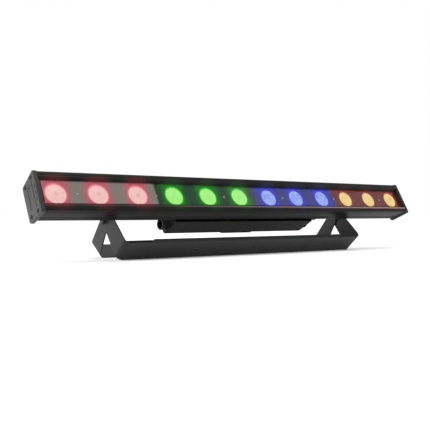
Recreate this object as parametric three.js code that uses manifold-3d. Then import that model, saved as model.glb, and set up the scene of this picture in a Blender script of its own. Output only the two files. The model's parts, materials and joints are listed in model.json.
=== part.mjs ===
// LED strip batten: a one metre stage light bar with twelve lensed LEDs, a rear box for power and control,
// and two U-shaped yokes that open like scissors about one axis and stand the bar on the floor.
// Millimetres, +X along the bar, +Y to the rear, +Z up. Origin: on the floor, under the middle.

import * as THREE from 'three';
import { mergeVertices } from 'three/addons/utils/BufferGeometryUtils.js';
import Module from 'manifold-3d';

const wasm = await Module();
wasm.setup();

// ---- driving dimensions ----
const gap = 0.3; // clearance between touching pieces
const ledPitch = 83;
const ledCount = 12;
const headTilt = THREE.MathUtils.degToRad(29.3); // the lamp face leans back
const pivotHeight = 86; // yoke axis above the floor
const pivotY = 15.3; // yoke axis behind the middle of the footprint
const pivotBack = 76; // yoke axis behind the lens plane, square to it

// Head coordinates: y to the rear, z up along the lens plane, zero at the lens centres.
const barHalf = 487.7;
const capHalf = 495.5;
const bar = { front: -10.5, back: 40, frontHalf: 39.4, backHalf: 32.8, wall: 2.4, rearWall: 5 };
const cap = { front: -11, back: 45, frontHalf: 42.1, backHalf: 36.6 };
// the opening in the front of the bar, and where each lip's slope towards it starts
const opening = { top: 24, bottom: -22.5, half: 484.5, topLip: 28, bottomLip: -29.2 };
const glass = { front: -4, back: -2, half: 27.3 };
const shelf = { front: 21, back: 23.6 };
const mask = { front: 1, back: 3, half: 29 };
const lens = { radius: 19.3, flange: 21, dome: -0.6, rear: 16.4, rearRadius: 7 };
const board = { front: 18.9, back: 20.6, half: 15, emitter: 4.5, emitterFront: 16.9 };

// Rear box and what it carries. Connectors sit one above the other on each end plate.
const box = { half: 189.7, front: 40.3, back: 91, bottom: -36.8, top: 33, wall: 1.5 };
const endPlate = { thick: 2, foot: 14, footThick: 2.2, footBottom: -33, footTop: 28, holeRadius: 2.3 };
const panel = { half: 44, bottom: -36.6, top: -3, proud: 2, rim: 5 };
const display = { x: -21, z: -19.5, halfX: 16, halfZ: 8, sunk: 0.4, behind: 1.2 };
const button = {
  radius: 3.6, collar: 4.5, collarBehind: 2.6, firstX: 3, pitch: 9.5, z: -19.5, proud: 1.6,
};
const socket = {
  y: 77.5, powerZ: -21.5, dataZ: 8, flangeY: 12.5, flangeZ: 14, flangeThick: 2, outer: 11.6, inner: 9,
  reach: 13, body: 16, pinRadius: 1.2, pinCircle: 4.5, pinTall: 7,
};
const circuit = { thick: 1.6, half: 26, raised: 7, postRadius: 3, postZ: 21, postInset: 6 };

// Yokes: folded sheet. reach is from the axis to the foot face, found from the height of the axis.
const sheet = 2.5;
const bendRadius = 13;
const frontYoke = makeYokeSize({ leanDeg: 42.5, outerX: 325.6, topHalf: 16.9, footHalf: 24 });
const rearYoke = makeYokeSize({ leanDeg: 34, outerX: 322.4, topHalf: 13, footHalf: 21 });
const flange = { half: 262.5, tall: 10, corner: 5 };
const pivotHole = 4.5;
const fixHole = 3.4;
const fixPitch = 151.5;

// Hinge plates, pivot bolts and clamp knobs, given on the +X side.
const hinge = {
  inner: 315.3, outer: 318.3, radius: 13, footInner: 290, footHalf: 14, footThick: 3,
  screwX: 300, screwZ: 9.5,
};
const bolt = { radius: 4, hole: 4.4, headRadius: 7.5, headInner: 309.5, tip: 331 };
const washer = { inner: 318.6, outer: 319.6, radius: 12 };
const knob = { inner: 325.9, disc: 328, outer: 334, radius: 19, boss: 7.5, lobes: 3, lobeDepth: 0.25 };

// Cap screws: [y, z] near the four corners of each cap.
const capScrews = [[2.5, 33.2], [32, 29.5], [2.5, -33.2], [32, -29.5]];
const capScrew = { shank: 1.8, head: 3.4, headTall: 2.4, depth: 12, sunk: 1.6, drive: 1.4 };

// Screws into the back of the bar. Their blind holes end portDepth inside its rear face.
const portDepth = 3.8;
const hingeScrew = { port: 2.8, shank: 2.4, head: 4.4, headTall: 2.8, drive: 1.7 };
const footScrew = { port: 2.2, shank: 1.9, head: 4.2, headTall: 2.4, drive: 1.6, z: 12 };
footScrew.x = box.half + endPlate.thick + gap + endPlate.foot / 2;

function makeYokeSize({ leanDeg, outerX, topHalf, footHalf }) {
  const lean = THREE.MathUtils.degToRad(leanDeg);
  const reach = (pivotHeight - footHalf * Math.sin(lean)) / Math.cos(lean);
  return { lean, outerX, topHalf, footHalf, reach };
}

// ---- materials ----
function finish(color, roughness, metalness, extra = {}) {
  return new THREE.MeshStandardMaterial({ color, roughness, metalness, ...extra });
}

const look = {
  blackPaint: () => finish('#1b1b1b', 0.5, 0.3),
  capPaint: () => finish('#3c3c3c', 0.55, 0.3),
  yokePaint: () => finish('#2e2f2f', 0.5, 0.3),
  screw: () => finish('#141414', 0.35, 0.8),
  steel: () => finish('#8d8f90', 0.4, 0.9),
  glass: () => finish('#9aa0a0', 0.08, 0, { transparent: true, opacity: 0.25 }),
  mask: () => finish('#16181a', 0.4, 0),
  whiteBoard: () => finish('#e8e8e2', 0.5, 0),
  greenBoard: () => finish('#1f4a2c', 0.5, 0),
  plastic: () => finish('#151515', 0.5, 0),
  display: () => finish('#0a1418', 0.1, 0),
};
const lensColors = ['#f2c1bf', '#acfc88', '#a0bcff', '#fddc91'];
const lensesPerColor = ledCount / lensColors.length;

// ---- joins and cuts ----
function solidOf(geometry) {
  const bare = geometry.clone();
  bare.deleteAttribute('normal');
  bare.deleteAttribute('uv');
  const merged = mergeVertices(bare, 1e-4);
  const mesh = new wasm.Mesh({
    numProp: 3,
    vertProperties: new Float32Array(merged.attributes.position.array),
    triVerts: new Uint32Array(merged.index.array),
  });
  return new wasm.Manifold(mesh);
}

function geometryOf(solid) {
  const mesh = solid.getMesh();
  const geometry = new THREE.BufferGeometry();
  geometry.setAttribute('position', new THREE.BufferAttribute(new Float32Array(mesh.vertProperties), 3));
  geometry.setIndex(new THREE.BufferAttribute(new Uint32Array(mesh.triVerts), 1));
  geometry.computeVertexNormals();
  return geometry;
}

function cut(base, tools) {
  return geometryOf(tools.reduce((solid, tool) => solid.subtract(solidOf(tool)), solidOf(base)));
}

function join(base, others) {
  return geometryOf(others.reduce((solid, other) => solid.add(solidOf(other)), solidOf(base)));
}

function common(a, b) {
  return geometryOf(solidOf(a).intersect(solidOf(b)));
}

// ---- basic shapes ----
const axisX = new THREE.Vector3(1, 0, 0);
const axisY = new THREE.Vector3(0, 1, 0);
const axisZ = new THREE.Vector3(0, 0, 1);
const turnToX = new THREE.Matrix4().makeBasis(axisY, axisZ, axisX);
const turnToY = new THREE.Matrix4().makeBasis(axisX, axisZ, axisY.clone().negate());

// a (y, z) outline extruded from x0 to x1
function alongX(shape, x0, x1, curveSegments = 4) {
  const geometry = new THREE.ExtrudeGeometry(shape, { depth: x1 - x0, bevelEnabled: false, curveSegments });
  return geometry.applyMatrix4(turnToX).translate(x0, 0, 0);
}

// an (x, z) outline extruded from y0 to y1
function alongY(shape, y0, y1, curveSegments = 4) {
  const geometry = new THREE.ExtrudeGeometry(shape, { depth: y1 - y0, bevelEnabled: false, curveSegments });
  return geometry.applyMatrix4(turnToY).translate(0, y1, 0);
}

function block(x0, x1, y0, y1, z0, z1) {
  const geometry = new THREE.BoxGeometry(x1 - x0, y1 - y0, z1 - z0);
  return geometry.translate((x0 + x1) / 2, (y0 + y1) / 2, (z0 + z1) / 2);
}

function rodX(radius, x0, x1, y, z, sides = 16) {
  const geometry = new THREE.CylinderGeometry(radius, radius, Math.abs(x1 - x0), sides);
  return geometry.rotateZ(Math.PI / 2).translate((x0 + x1) / 2, y, z);
}

function rodY(radius, x, y0, y1, z, sides = 16) {
  const geometry = new THREE.CylinderGeometry(radius, radius, y1 - y0, sides);
  return geometry.translate(x, (y0 + y1) / 2, z);
}

function rodZ(radius, x, y, z0, z1, sides = 16) {
  const geometry = new THREE.CylinderGeometry(radius, radius, z1 - z0, sides);
  return geometry.rotateX(Math.PI / 2).translate(x, y, (z0 + z1) / 2);
}

// An outline through [a, b, radius] corners; the radius may be left out for a sharp one.
function outlineOf(corners) {
  const shape = new THREE.Shape();
  corners.forEach(([a, b, radius = 0], i) => {
    const corner = new THREE.Vector2(a, b);
    const [pa, pb] = corners[(i + corners.length - 1) % corners.length];
    const [na, nb] = corners[(i + 1) % corners.length];
    const start = new THREE.Vector2(pa - a, pb - b).setLength(radius).add(corner);
    const end = new THREE.Vector2(na - a, nb - b).setLength(radius).add(corner);
    if (i === 0) shape.moveTo(start.x, start.y);
    else shape.lineTo(start.x, start.y);
    if (radius > 0) shape.quadraticCurveTo(corner.x, corner.y, end.x, end.y);
  });
  shape.closePath();
  return shape;
}

function rectangle(a0, a1, b0, b1, radius = 0) {
  return outlineOf([[a0, b0, radius], [a1, b0, radius], [a1, b1, radius], [a0, b1, radius]]);
}

// the upper half of an outline from front to rear, followed by its mirror image below
function bothHalves(upper) {
  const lower = upper.map(([y, z, radius]) => [y, -z, radius]).reverse();
  return outlineOf([...upper, ...lower]);
}

// ---- bar, caps and their screws ----
function skinAt(y) {
  const slope = (bar.frontHalf - bar.backHalf) / (bar.back - bar.front);
  return bar.frontHalf - slope * (y - bar.front) - bar.wall;
}

// Half of the lamp chamber's outline, from the window's edge round to the shelf. The thick root of each lip
// holds the groove for the window and the front screw ports.
function chamberHalf(windowEdge, lipEdge) {
  const grooveDeep = glass.half + gap;
  const grooveFront = glass.front - gap;
  const grooveBack = glass.back + gap;
  const root = 29.6;
  const rootBack = 8;
  return [
    [bar.front, lipEdge, 0.5], [grooveFront - 1.7, windowEdge], [grooveFront, windowEdge],
    [grooveFront, grooveDeep], [grooveBack, grooveDeep], [grooveBack, root], [rootBack - 2, root],
    [rootBack, skinAt(rootBack)], [shelf.front, skinAt(shelf.front)],
  ];
}

// Half of the outside from the rear recess to the thin line that runs along the front of each lip.
function lipOutside(side) {
  const recess = { half: 5, deep: 2.5 };
  const line = { z: 31, half: 1, deep: 1.4 };
  return [
    [bar.back - recess.deep, side * recess.half], [bar.back, side * recess.half],
    [bar.back, side * bar.backHalf, 2], [bar.front, side * bar.frontHalf, 1.5],
    [bar.front, side * (line.z + line.half)], [bar.front + line.deep, side * line.z],
    [bar.front, side * (line.z - line.half)],
  ];
}

function housingExtrusion() {
  const below = ([y, z, radius]) => [y, -z, radius];
  const outline = outlineOf([
    ...lipOutside(1), ...chamberHalf(opening.top, opening.topLip),
    ...chamberHalf(-opening.bottom, -opening.bottomLip).map(below).reverse(), ...lipOutside(-1).reverse(),
  ]);
  // the closed chamber behind the shelf, narrowed at the rear by the screw ports' roots
  const innerBack = bar.back - bar.rearWall;
  const rootFront = 28;
  const rootHalf = 25.5;
  outline.holes.push(bothHalves([
    [shelf.back, skinAt(shelf.back)], [rootFront - 2, skinAt(rootFront - 2)], [rootFront, rootHalf],
    [innerBack, rootHalf],
  ].reverse()));
  const ports = [];
  const portBottom = bar.back - portDepth;
  for (const side of [-1, 1]) {
    const capEnds = [side * (barHalf - capScrew.depth), side * (barHalf + 1)];
    for (const [y, z] of capScrews) ports.push(rodX(capScrew.shank + gap, ...capEnds, y, z, 8));
    for (const z of [-hinge.screwZ, hinge.screwZ]) {
      ports.push(rodY(hingeScrew.port, side * hinge.screwX, portBottom, bar.back + 1, z, 8));
    }
    ports.push(rodY(footScrew.port, side * footScrew.x, portBottom, bar.back + 1, footScrew.z, 8));
  }
  return cut(alongX(outline, -barHalf, barHalf, 2), ports);
}

function endCap(side) {
  const { front, back, frontHalf, backHalf } = cap;
  const outline = bothHalves([
    [back, backHalf - 3, 2], [back - 2.5, backHalf, 1],
    [front + 3, frontHalf, 1.5], [front, frontHalf - 3, 1.5],
  ]);
  const inner = barHalf + gap;
  const plate = side > 0 ? alongX(outline, inner, capHalf) : alongX(outline, -capHalf, -inner);
  const plugFront = bar.front + 1.5;
  const plugEnds = side > 0 ? [opening.half, inner + 1] : [-inner - 1, -opening.half];
  const plug = block(...plugEnds, plugFront, glass.front - 2 * gap, opening.bottom + 1, opening.top - 1);
  const tools = [];
  for (const [y, z] of capScrews) {
    tools.push(rodX(capScrew.shank + gap, side * (inner - 2), side * (capHalf + 1), y, z, 12));
    tools.push(rodX(capScrew.head + gap, side * (capHalf - capScrew.sunk), side * (capHalf + 1), y, z, 16));
  }
  // a shallow panel in the outer face
  tools.push(alongX(bothHalves([[25, 22, 3], [1, 24, 3]]), ...spanOnSide(side, capHalf - 0.8, capHalf + 1)));
  return cut(join(plate, [plug]), tools);
}

function spanOnSide(side, near, far) {
  return side > 0 ? [near, far] : [-far, -near];
}

function screwAlongX(side, seat, [y, z]) {
  const head = rodX(capScrew.head, side * seat, side * (seat + capScrew.headTall), y, z, 16);
  const tip = barHalf - capScrew.depth + 1;
  const shank = rodX(capScrew.shank, side * tip, side * (seat + 0.5), y, z, 8);
  const halfHead = capScrew.headTall / 2;
  const driveEnds = [side * (seat + halfHead), side * (seat + capScrew.headTall + 1)];
  const drive = rodX(capScrew.drive, ...driveEnds, y, z, 6);
  return cut(join(head, [shank]), [drive]);
}

// ---- optics ----
function frontWindow() {
  return block(-barHalf + 1, barHalf - 1, glass.front, glass.back, -glass.half, glass.half);
}

function lensX(i) {
  return (i - (ledCount - 1) / 2) * ledPitch;
}

function lensMask() {
  const sheetOutline = rectangle(-barHalf + 2, barHalf - 2, -mask.half, mask.half);
  for (let i = 0; i < ledCount; i += 1) {
    const hole = new THREE.Path();
    hole.absarc(lensX(i), 0, lens.radius + gap, 0, 2 * Math.PI, true);
    sheetOutline.holes.push(hole);
  }
  return alongY(sheetOutline, mask.front, mask.back, 12);
}

function lensBody() {
  const flangeFront = mask.back + gap;
  const profile = [
    [0, lens.rear], [lens.rearRadius, lens.rear], [18, flangeFront + 2], [lens.flange, flangeFront + 2],
    [lens.flange, flangeFront], [lens.radius, flangeFront], [lens.radius, mask.front], [12, lens.dome + 0.5],
    [0, lens.dome],
  ];
  return new THREE.LatheGeometry(profile.map(([r, y]) => new THREE.Vector2(r, y)).reverse(), 18);
}

function ledBoard() {
  const strip = block(-barHalf + 4, barHalf - 4, board.front, board.back, -board.half, board.half);
  const emitters = [];
  for (let i = 0; i < ledCount; i += 1) {
    const x = lensX(i);
    const e = board.emitter;
    emitters.push(block(x - e, x + e, board.emitterFront, board.front + 0.5, -e, e));
  }
  return join(strip, emitters);
}

// ---- rear box ----
function powerBoxCover() {
  const { half, front, back, bottom, top, wall } = box;
  const outline = outlineOf([
    [front, top], [front, top - wall], [back - wall, top - wall, 1.5], [back - wall, bottom + wall, 1.5],
    [front, bottom + wall], [front, bottom], [back, bottom, 3], [back, top, 3],
  ]);
  const inset = panel.rim;
  const panelHole = block(
    -panel.half + inset, panel.half - inset, back - 5, back + 1, panel.bottom + inset, panel.top - inset);
  return cut(alongX(outline, -half, half), [panelHole]);
}

function boxEndPlate(side) {
  const inner = box.half + gap;
  const outer = inner + endPlate.thick;
  const footEnd = outer + endPlate.foot;
  const outline = outlineOf([
    [box.front, box.bottom], [box.back, box.bottom, 3], [box.back, box.top, 3], [box.front, box.top],
  ]);
  const plate = alongX(outline, ...spanOnSide(side, inner, outer));
  const foot = block(
    ...spanOnSide(side, outer - 0.5, footEnd), box.front, box.front + endPlate.footThick,
    endPlate.footBottom, endPlate.footTop);
  const tools = [socket.powerZ, socket.dataZ].map((z) => rodX(
    socket.outer + gap, side * (inner - 1), side * (outer + 1), socket.y, z, 20));
  const footBack = box.front + endPlate.footThick;
  const { x, z } = footScrew;
  const footHole = rodY(endPlate.holeRadius, side * x, box.front - 1, footBack + 1, z, 10);
  tools.push(footHole);
  return cut(join(plate, [foot]), tools);
}

// A hex socket screw along Y into the back of the bar; its head rests on the seat.
function screwAlongY(screw, x, seat, z) {
  const tip = bar.back - portDepth + 0.4;
  const head = rodY(screw.head, x, seat, seat + screw.headTall, z, 14);
  const shank = rodY(screw.shank, x, tip, seat + 0.5, z, 8);
  const drive = rodY(screw.drive, x, seat + screw.headTall / 2, seat + screw.headTall + 1, z, 6);
  return cut(join(head, [shank]), [drive]);
}

// A round chassis connector: square flange outside, barrel with an open mouth, and a body inside the box.
function chassisSocket(side, z, pins) {
  const face = box.half + gap + endPlate.thick + gap;
  const mouth = face + socket.reach;
  const body = box.half - socket.body;
  const floor = face - 1;
  const { y, flangeY, flangeZ } = socket;
  const square = rectangle(y - flangeY, y + flangeY, z - flangeZ, z + flangeZ, 3);
  const flangePlate = alongX(square, ...spanOnSide(side, face, face + socket.flangeThick), 2);
  const barrel = rodX(socket.outer, side * body, side * mouth, y, z, 20);
  const mouthCut = rodX(socket.inner, side * floor, side * (mouth + 1), y, z, 16);
  const shell = cut(join(barrel, [flangePlate]), [mouthCut]);
  const pinEnds = [side * (floor - 1), side * (floor + socket.pinTall)];
  const pinRods = pins.map(([dy, dz]) => rodX(socket.pinRadius, ...pinEnds, y + dy, z + dz, 6));
  return join(shell, pinRods);
}

function roundPins(count, radius, turn) {
  return Array.from({ length: count }, (_, i) => {
    const angle = turn + (2 * Math.PI * i) / count;
    return [radius * Math.cos(angle), radius * Math.sin(angle)];
  });
}

function controlPanel() {
  const face = box.back + gap;
  const through = [box.back - 1, face + panel.proud + 1];
  const outline = rectangle(-panel.half, panel.half, panel.bottom, panel.top, 3);
  const plate = alongY(outline, face, face + panel.proud, 3);
  const { x, z, halfX, halfZ } = display;
  const tools = [block(
    x - halfX - gap, x + halfX + gap, ...through, z - halfZ - gap, z + halfZ + gap)];
  for (const place of buttonPlaces()) tools.push(rodY(button.radius + gap, place, ...through, button.z, 16));
  return cut(plate, tools);
}

function buttonPlaces() {
  return [0, 1, 2, 3].map((i) => button.firstX + i * button.pitch);
}

function displayWindow() {
  const { x, z, halfX, halfZ, sunk } = display;
  const face = box.back + gap + panel.proud - sunk;
  return block(x - halfX, x + halfX, box.back - display.behind, face, z - halfZ, z + halfZ);
}

function menuButton(x) {
  const top = box.back + gap + panel.proud + button.proud;
  const collarBack = box.back - button.collarBehind;
  const stem = rodY(button.radius, x, collarBack + 0.6, top, button.z, 16);
  const collar = rodY(button.collar, x, collarBack, collarBack + 1.4, button.z, 16);
  return join(stem, [collar]);
}

// the circuit board behind the panel, with the display and a key switch behind each button
function controlBoard() {
  const half = 40;
  const back = box.back - 6;
  const parts = [];
  const screen = { halfX: 15, halfZ: 6, front: box.back - display.behind - 0.6 };
  parts.push(block(
    display.x - screen.halfX, display.x + screen.halfX, back - 0.5, screen.front,
    display.z - screen.halfZ, display.z + screen.halfZ));
  const key = { half: 3, tall: 1.6 };
  for (const x of buttonPlaces()) {
    parts.push(block(
      x - key.half, x + key.half, back - 0.5, back + key.tall, button.z - key.half, button.z + key.half));
  }
  const sheetEnds = [panel.bottom + panel.rim, panel.top - panel.rim];
  return join(block(-half, half, back - circuit.thick, back, ...sheetEnds), parts);
}

// a circuit board on four posts with square and round components standing on it
function circuitBoard(x0, x1, blocks, cans) {
  const seat = bar.back + gap;
  const face = seat + circuit.raised;
  const parts = [];
  for (const x of [x0 + circuit.postInset, x1 - circuit.postInset]) {
    for (const z of [-circuit.postZ, circuit.postZ]) {
      parts.push(rodY(circuit.postRadius, x, seat, face - 1, z, 8));
    }
  }
  for (const [dx, z, w, h, tall] of blocks) {
    parts.push(block(x0 + dx, x0 + dx + w, face - 0.5, face + tall, z - h / 2, z + h / 2));
  }
  for (const [dx, z, radius, tall] of cans) parts.push(rodY(radius, x0 + dx, face - 0.5, face + tall, z, 12));
  return join(block(x0, x1, face - circuit.thick, face, -circuit.half, circuit.half), parts);
}

// ---- hinge plates, bolts, washers and knobs (in head coordinates) ----
function hingePlate(side) {
  const upright = new THREE.Shape();
  upright.moveTo(bar.back + gap, -hinge.footHalf);
  upright.lineTo(pivotBack, -hinge.radius);
  upright.absarc(pivotBack, 0, hinge.radius, -Math.PI / 2, Math.PI / 2);
  upright.lineTo(bar.back + gap, hinge.footHalf);
  upright.closePath();
  const plate = alongX(upright, ...spanOnSide(side, hinge.inner, hinge.outer), 10);
  const seat = bar.back + gap;
  const foot = block(
    ...spanOnSide(side, hinge.footInner, hinge.outer), seat, seat + hinge.footThick,
    -hinge.footHalf, hinge.footHalf);
  const tools = [boltHole(side, hinge.inner - 1, hinge.outer + 1)];
  for (const z of [-hinge.screwZ, hinge.screwZ]) {
    tools.push(rodY(hingeScrew.port, side * hinge.screwX, seat - 1, seat + hinge.footThick + 1, z, 10));
  }
  return cut(join(plate, [foot]), tools);
}

function boltHole(side, near, far) {
  return rodX(bolt.hole, side * near, side * far, pivotBack, 0, 16);
}

function pivotBolt(side) {
  const shoulder = hinge.inner - gap;
  const head = rodX(bolt.headRadius, side * bolt.headInner, side * shoulder, pivotBack, 0, 6);
  const shank = rodX(bolt.radius, side * (shoulder - 1), side * bolt.tip, pivotBack, 0, 16);
  return join(head, [shank]);
}

function frictionWasher(side) {
  const disc = rodX(washer.radius, side * washer.inner, side * washer.outer, pivotBack, 0, 24);
  return cut(disc, [boltHole(side, washer.inner - 1, washer.outer + 1)]);
}

// A star knob. One lobe points straight down when the bar stands on its yokes.
function clampKnob(side) {
  const star = new THREE.Shape();
  const points = 48;
  const down = headTilt - Math.PI / 2;
  for (let i = 0; i < points; i += 1) {
    const angle = (2 * Math.PI * i) / points;
    const radius = knob.radius * (1 - knob.lobeDepth + knob.lobeDepth * Math.cos(knob.lobes * angle));
    const y = pivotBack + radius * Math.cos(angle + down);
    const z = radius * Math.sin(angle + down);
    if (i === 0) star.moveTo(y, z);
    else star.lineTo(y, z);
  }
  star.closePath();
  const disc = alongX(star, ...spanOnSide(side, knob.disc, knob.outer));
  const boss = rodX(knob.boss, side * knob.inner, side * (knob.disc + 1), pivotBack, 0, 20);
  const bore = rodX(bolt.radius + gap, side * (knob.inner - 1), side * (bolt.tip + 1), pivotBack, 0, 16);
  return cut(join(disc, [boss]), [bore]);
}

// ---- yokes (in their own coordinates: axis at the origin, foot straight below) ----
function yoke(size, flangeSide) {
  const { outerX, reach, topHalf, footHalf } = size;
  const innerX = outerX - sheet;
  const innerZ = sheet - reach;
  const top = topHalf + 1;
  const innerRadius = bendRadius - sheet;
  const folded = new THREE.Shape();
  folded.moveTo(-outerX, top);
  folded.lineTo(-outerX, bendRadius - reach);
  folded.absarc(bendRadius - outerX, bendRadius - reach, bendRadius, Math.PI, 1.5 * Math.PI);
  folded.lineTo(outerX - bendRadius, -reach);
  folded.absarc(outerX - bendRadius, bendRadius - reach, bendRadius, 1.5 * Math.PI, 2 * Math.PI);
  folded.lineTo(outerX, top);
  folded.lineTo(innerX, top);
  folded.lineTo(innerX, innerZ + innerRadius);
  folded.absarc(innerX - innerRadius, innerZ + innerRadius, innerRadius, 0, -Math.PI / 2, true);
  folded.lineTo(innerRadius - innerX, innerZ);
  folded.absarc(innerRadius - innerX, innerZ + innerRadius, innerRadius, -Math.PI / 2, -Math.PI, true);
  folded.lineTo(-innerX, top);
  folded.closePath();

  const ear = new THREE.Shape();
  ear.moveTo(-footHalf, -reach - 1);
  ear.lineTo(footHalf, -reach - 1);
  ear.lineTo(footHalf, bendRadius - reach);
  ear.lineTo(topHalf, 0);
  ear.absarc(0, 0, topHalf, 0, Math.PI);
  ear.lineTo(-footHalf, bendRadius - reach);
  ear.closePath();

  const wideFold = alongY(folded, -footHalf - 1, footHalf + 1, 5);
  const blank = common(wideFold, alongX(ear, -outerX - 1, outerX + 1, 8));
  const edge = flangeSide * footHalf;
  const flangeOutline = outlineOf([
    [-flange.half, -reach], [flange.half, -reach], [flange.half, flange.tall - reach, flange.corner],
    [-flange.half, flange.tall - reach, flange.corner],
  ]);
  const lip = flangeSide > 0
    ? alongY(flangeOutline, edge - sheet, edge, 3)
    : alongY(flangeOutline, edge, edge + sheet, 3);
  const holes = [rodX(pivotHole, -outerX - 1, outerX + 1, 0, 0, 20)];
  for (const x of [-fixPitch, 0, fixPitch]) holes.push(rodZ(fixHole, x, 0, -reach - 1, innerZ + 1, 14));
  return cut(join(blank, [lip]), holes);
}

// ---- assembly ----
const batten = new THREE.Group();

const head = new THREE.Group();
head.position.set(0, pivotY - pivotBack * Math.cos(headTilt), pivotHeight + pivotBack * Math.sin(headTilt));
head.rotation.x = -headTilt;
batten.add(head);

function place(group, name, geometry, material) {
  const mesh = new THREE.Mesh(geometry, material);
  mesh.name = name;
  group.add(mesh);
  return mesh;
}

const sides = [['left', -1], ['right', 1]];
const corners = ['upper_front', 'upper_rear', 'lower_front', 'lower_rear'];

place(head, 'housing_extrusion', housingExtrusion(), look.blackPaint());
place(head, 'front_window', frontWindow(), look.glass());
place(head, 'lens_mask', lensMask(), look.mask());
place(head, 'led_board', ledBoard(), look.whiteBoard());
for (let i = 0; i < ledCount; i += 1) {
  const name = `lens_${String(i + 1).padStart(2, '0')}`;
  const color = lensColors[Math.floor(i / lensesPerColor)];
  place(head, name, lensBody(), finish(color, 0.2, 0)).position.x = lensX(i);
}

place(head, 'power_box_cover', powerBoxCover(), look.blackPaint());
place(head, 'control_panel', controlPanel(), look.plastic());
place(head, 'display_window', displayWindow(), look.display());
place(head, 'control_board', controlBoard(), look.greenBoard());
buttonPlaces().forEach((x, i) => place(head, `menu_button_${i + 1}`, menuButton(x), look.plastic()));
const supplyBlocks = [[14, -8, 34, 30, 26], [58, 4, 42, 34, 30], [112, -6, 24, 22, 18], [140, 8, 14, 26, 12]];
const supplyCans = [[52, -18, 5, 24], [106, 17, 6, 22], [132, -19, 4, 14]];
place(head, 'power_supply_board', circuitBoard(-166, -8, supplyBlocks, supplyCans), look.greenBoard());
const driverBlocks = [[16, 0, 18, 18, 4], [50, 10, 12, 12, 10], [50, -10, 12, 12, 10], [84, 0, 30, 14, 6]];
const driverCans = [[74, 14, 4, 12], [74, -14, 4, 12], [124, 0, 5, 14]];
place(head, 'led_driver_board', circuitBoard(8, 148, driverBlocks, driverCans), look.greenBoard());

const powerPins = roundPins(3, socket.pinCircle, 0);
const dataPins = roundPins(3, socket.pinCircle, Math.PI / 2);
place(head, 'power_inlet', chassisSocket(-1, socket.powerZ, powerPins), look.plastic());
place(head, 'data_inlet', chassisSocket(-1, socket.dataZ, dataPins), look.steel());
place(head, 'power_outlet', chassisSocket(1, socket.powerZ, powerPins), look.plastic());
place(head, 'data_outlet', chassisSocket(1, socket.dataZ, dataPins), look.steel());

for (const [name, side] of sides) {
  place(head, `end_cap_${name}`, endCap(side), look.capPaint());
  capScrews.forEach((spot, i) => {
    const seat = capHalf - capScrew.sunk + gap;
    place(head, `cap_screw_${name}_${corners[i]}`, screwAlongX(side, seat, spot), look.screw());
  });
  place(head, `box_end_plate_${name}`, boxEndPlate(side), look.blackPaint());
  const boxSeat = box.front + endPlate.footThick + gap;
  const boxScrew = screwAlongY(footScrew, side * footScrew.x, boxSeat, footScrew.z);
  place(head, `box_screw_${name}`, boxScrew, look.screw());
  place(head, `hinge_plate_${name}`, hingePlate(side), look.blackPaint());
  const hingeSeat = bar.back + gap + hinge.footThick + gap;
  for (const [level, z] of [['upper', hinge.screwZ], ['lower', -hinge.screwZ]]) {
    const screw = screwAlongY(hingeScrew, side * hinge.screwX, hingeSeat, z);
    place(head, `hinge_screw_${name}_${level}`, screw, look.screw());
  }
  place(head, `pivot_bolt_${name}`, pivotBolt(side), look.steel());
  place(head, `friction_washer_${name}`, frictionWasher(side), look.plastic());
  place(head, `clamp_knob_${name}`, clampKnob(side), look.plastic());
}

// positive turns about +X swing a foot to the rear
for (const [name, size, way] of [['front_yoke', frontYoke, -1], ['rear_yoke', rearYoke, 1]]) {
  const mesh = place(batten, name, yoke(size, way), look.yokePaint());
  mesh.position.set(0, pivotY, pivotHeight);
  mesh.rotation.x = way * size.lean;
}

export default batten;
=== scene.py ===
"""Looks of the led strip batten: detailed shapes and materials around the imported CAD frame."""

import json
from math import cos, pi, radians, sin, sqrt

import bmesh
import bpy
from mathutils import Matrix, Vector


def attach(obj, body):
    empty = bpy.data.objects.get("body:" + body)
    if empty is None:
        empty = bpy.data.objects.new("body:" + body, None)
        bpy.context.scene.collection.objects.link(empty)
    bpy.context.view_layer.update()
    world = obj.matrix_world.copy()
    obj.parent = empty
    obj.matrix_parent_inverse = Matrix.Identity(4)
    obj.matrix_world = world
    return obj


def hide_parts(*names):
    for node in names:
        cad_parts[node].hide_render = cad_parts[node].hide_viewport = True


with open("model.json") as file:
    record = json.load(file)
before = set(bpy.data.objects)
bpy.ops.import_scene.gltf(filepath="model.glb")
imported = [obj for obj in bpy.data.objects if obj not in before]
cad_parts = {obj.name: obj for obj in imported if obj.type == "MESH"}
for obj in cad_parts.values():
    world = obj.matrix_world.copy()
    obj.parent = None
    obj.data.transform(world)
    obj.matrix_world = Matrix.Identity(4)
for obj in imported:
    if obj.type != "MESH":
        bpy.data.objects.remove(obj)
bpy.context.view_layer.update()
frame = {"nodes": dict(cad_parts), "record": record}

# ---- camera ----
CAMERA_PLACE = (-0.9526, -1.1608, 0.0883)
CAMERA_YAW = 0.651  # from +Y towards +X
CAMERA_PITCH = -0.002
CAMERA_LENS = 56.67

# ---- the object's own dimensions, in millimetres ----
# Head coordinates: x along the bar, y to the rear, z up along the lens plane, zero at the lens centres.
MM = 0.001
HEAD_TILT = radians(29.3)
PIVOT_HEIGHT = 86
PIVOT_Y = 15.3
PIVOT_BACK = 76
LED_PITCH = 83
LED_COUNT = 12
FIRST_LED = -(LED_COUNT - 1) / 2 * LED_PITCH
GROUP_HALF = 3 * LED_PITCH  # where one colour ends and the next begins
BAR_HALF = 487.7
BAR_FRONT = -10.5
BAR_BACK = 40
FRONT_HALF = 39.4
BACK_HALF = 32.8
SHELL_WALL = 2.4
PANE_FRONT = -4.3  # the groove that holds the window
PANE_BACK = -1.7
PANE_HALF = 27.6
CHAMBER_HALF = 29.6
WINDOW_TOP = 24  # edges of the opening in the front, and where each lip's slope towards them starts
WINDOW_BOTTOM = 22.5
TOP_SLOPE = 28
BOTTOM_SLOPE = 29.2
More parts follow.
